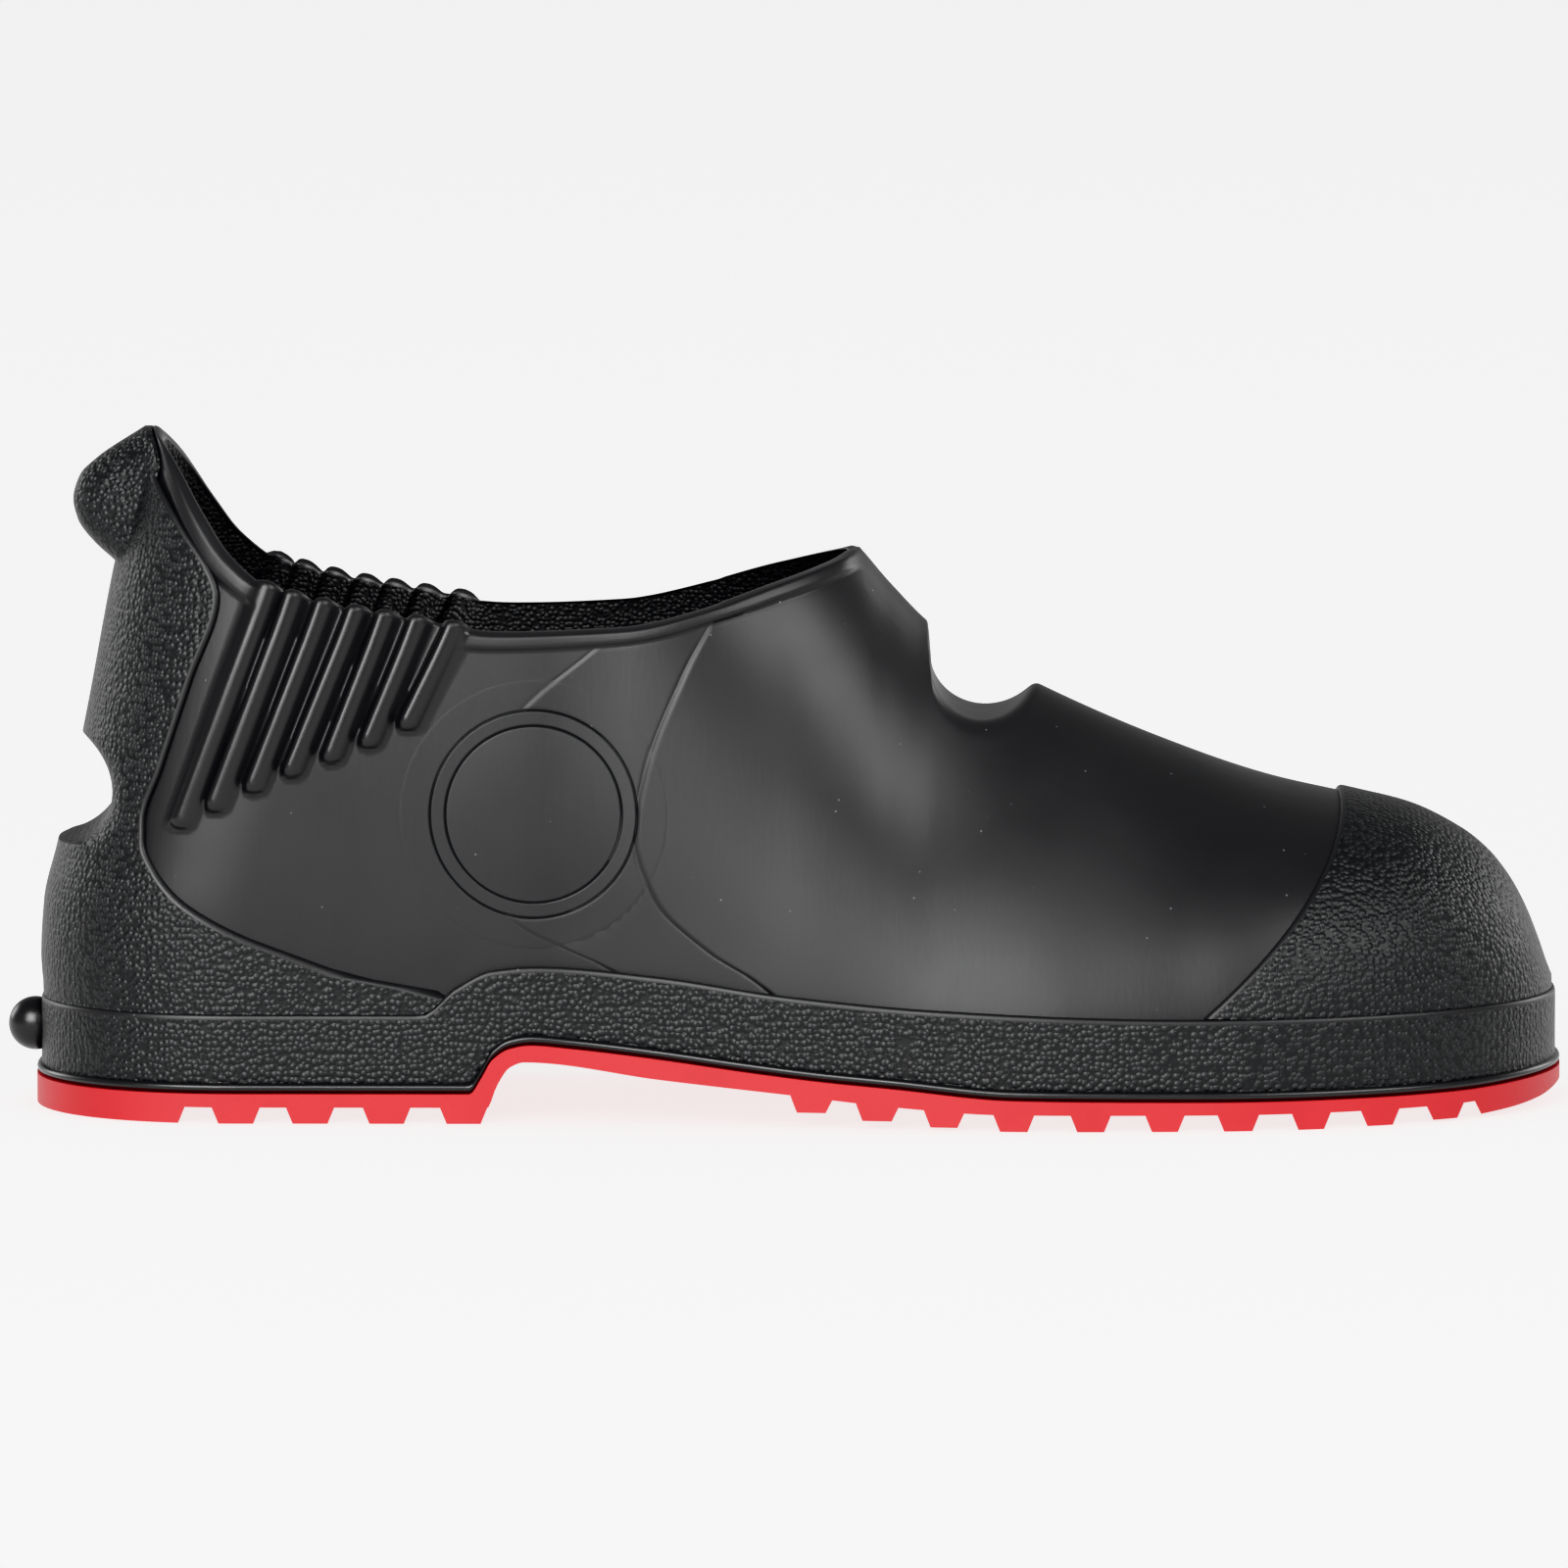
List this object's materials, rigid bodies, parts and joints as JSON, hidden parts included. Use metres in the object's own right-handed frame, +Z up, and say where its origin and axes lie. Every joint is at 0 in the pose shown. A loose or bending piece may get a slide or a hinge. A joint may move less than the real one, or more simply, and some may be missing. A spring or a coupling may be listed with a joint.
{
  "type": "overshoe",
  "caption": "Moulded slip-on work overshoe with open collar, ribbed heel gusset, toe cap, heel pull tab and lugged outsole.",
  "frame": {"origin": "middle of the shoe's box, on the floor under the sole", "axes": "+X from heel to toe, +Y to the inner side of the foot, +Z up from the floor"},
  "size_m": [0.33, 0.1192, 0.143],
  "materials": {
    "red_rubber": "moulded red rubber, satin",
    "smooth_pvc": "moulded black PVC, satin",
    "grained_pvc": "moulded black PVC, pebble grain",
    "gloss_pvc": "moulded black PVC, glossy"
  },
  "bodies": {
    "root": {"outsole": "red_rubber", "rand": "grained_pvc", "upper": "smooth_pvc", "toe_cap": "grained_pvc", "heel_counter": "grained_pvc", "pull_tab": "grained_pvc", "kick_off_lug": "gloss_pvc"}
  },
  "joints": []
}
